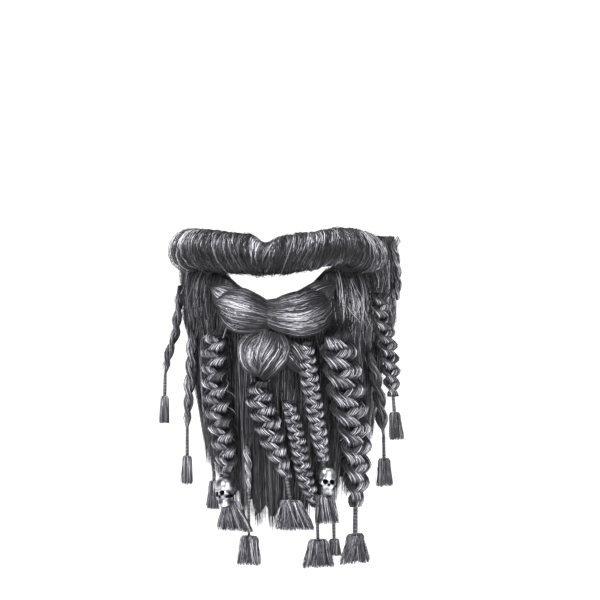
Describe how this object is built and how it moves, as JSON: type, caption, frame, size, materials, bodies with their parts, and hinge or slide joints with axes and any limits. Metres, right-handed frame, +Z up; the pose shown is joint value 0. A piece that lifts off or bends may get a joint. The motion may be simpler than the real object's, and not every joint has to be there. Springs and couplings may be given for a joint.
{
  "type": "fake beard",
  "caption": "Fake beard with a rolled moustache, combed chin locks, hanging plaits with cut tassels, and skull beads, on a cloth base with a head elastic.",
  "frame": {"origin": "middle of the chin, on the outer face of the base cloth, where the beard sits on the chin", "axes": "+Z up, the beard faces -Y, +X to the viewer's right"},
  "size_m": [0.1764, 0.2108, 0.2308],
  "materials": {
    "base_cloth": "fine dark net cloth",
    "elastic": "flat woven black elastic",
    "light_hair": "combed synthetic hair in mixed black, grey and white",
    "dark_hair": "straight synthetic hair, nearly black with grey strands",
    "tassel_hair": "cut synthetic hair bound with grey thread",
    "silver_metal": "bright cast metal beads"
  },
  "bodies": {
    "root": {"backing": "base_cloth", "head_elastic": "elastic", "moustache": "light_hair", "cheek_hair": "dark_hair", "beard_fall": "dark_hair", "chin_lock_left": "light_hair", "chin_lock_right": "light_hair", "chin_knot": "light_hair", "plait_left_main": "light_hair", "plait_chin": "light_hair", "plait_centre_thin": "light_hair", "plait_right_inner": "light_hair", "plait_right_main": "light_hair", "plait_right_outer": "light_hair", "rope_right_low": "light_hair", "rope_left_outer": "light_hair", "rope_left_inner": "light_hair", "rope_right_temple": "light_hair", "rope_by_bead": "light_hair", "tassel_left_outer": "tassel_hair", "tassel_left_inner": "tassel_hair", "tassel_left_back": "tassel_hair", "tassel_left_main": "tassel_hair", "tassel_by_bead": "tassel_hair", "tassel_chin": "tassel_hair", "tassel_centre_thin": "tassel_hair", "tassel_right_inner": "tassel_hair", "tassel_right_back": "tassel_hair", "tassel_right_main": "tassel_hair", "tassel_right_outer": "tassel_hair", "tassel_right_low": "tassel_hair", "skull_bead_left": "silver_metal", "skull_bead_right": "silver_metal"}
  },
  "joints": []
}
